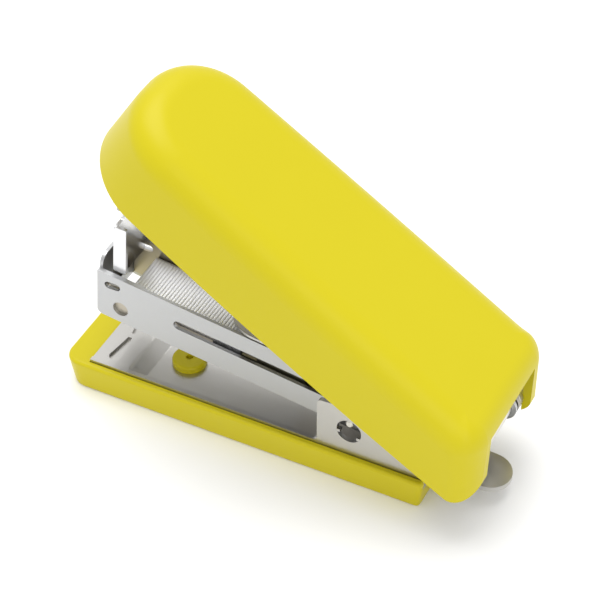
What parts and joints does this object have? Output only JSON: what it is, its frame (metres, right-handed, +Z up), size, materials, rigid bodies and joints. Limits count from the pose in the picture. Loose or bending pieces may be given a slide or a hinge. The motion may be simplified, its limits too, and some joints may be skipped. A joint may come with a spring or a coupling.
{
  "type": "pocket stapler",
  "caption": "Pocket stapler with a rounded yellow cover standing open over a plated steel magazine, hinged on a slim yellow base with a steel anvil plate.",
  "frame": {"origin": "centre of the base's flat bottom face", "axes": "+X to the hinge end, +Y across the stapler to the far side, +Z up"},
  "size_m": [0.0669, 0.025, 0.0535],
  "materials": {
    "yellow_plastic": "glossy moulded ABS",
    "plate_steel": "bright nickel-plated sheet steel",
    "case_steel": "plated sheet steel with a fine grain",
    "spring_steel": "blued spring steel",
    "staple_wire": "bright drawn wire",
    "pusher_steel": "yellow-passivated sheet steel",
    "pin_steel": "turned steel"
  },
  "bodies": {
    "base": {"base_shell": "yellow_plastic", "base_plate": "plate_steel", "hinge_pin": "pin_steel", "pin_washers": "pin_steel", "lift_spring": "spring_steel", "lift_spring_rivet": "pin_steel"},
    "magazine": {"magazine_case": "case_steel", "front_guide": "case_steel", "staple_rail": "case_steel", "staple_strip": "staple_wire", "stop_pin": "pin_steel", "pusher_rod": "pin_steel", "spring_seat": "case_steel", "seat_rivets": "pin_steel", "pusher_spring": "spring_steel"},
    "pusher": {"pusher": "pusher_steel"},
    "handle": {"cover_shell": "yellow_plastic", "handle_frame": "plate_steel", "driver_blade": "plate_steel", "blade_rivets": "pin_steel", "handle_spring": "spring_steel", "handle_spring_rivet": "pin_steel"}
  },
  "joints": [
    {"name": "magazine_hinge", "type": "hinge", "parent": "base", "child": "magazine", "pos_m": [0.03445, 0, 0.01165], "axis": [0, 1, 0], "range_deg": [-7.6, 0], "stiffness_Nm_per_rad": 0.02, "springref_deg": 20.05, "deforming": ["lift_spring"]},
    {"name": "handle_hinge", "type": "hinge", "parent": "magazine", "child": "handle", "pos_m": [0.03445, 0, 0.01165], "axis": [0, 1, 0], "range_deg": [-6, 60], "stiffness_Nm_per_rad": 0.01, "deforming": ["handle_spring"]},
    {"name": "pusher_slide", "type": "slide", "parent": "magazine", "child": "pusher", "axis": [0.9909, 0, -0.1348], "range_m": [0, 0.0062], "stiffness_N_per_m": 20, "springref_m": -0.004, "deforming": ["pusher_spring"]}
  ]
}
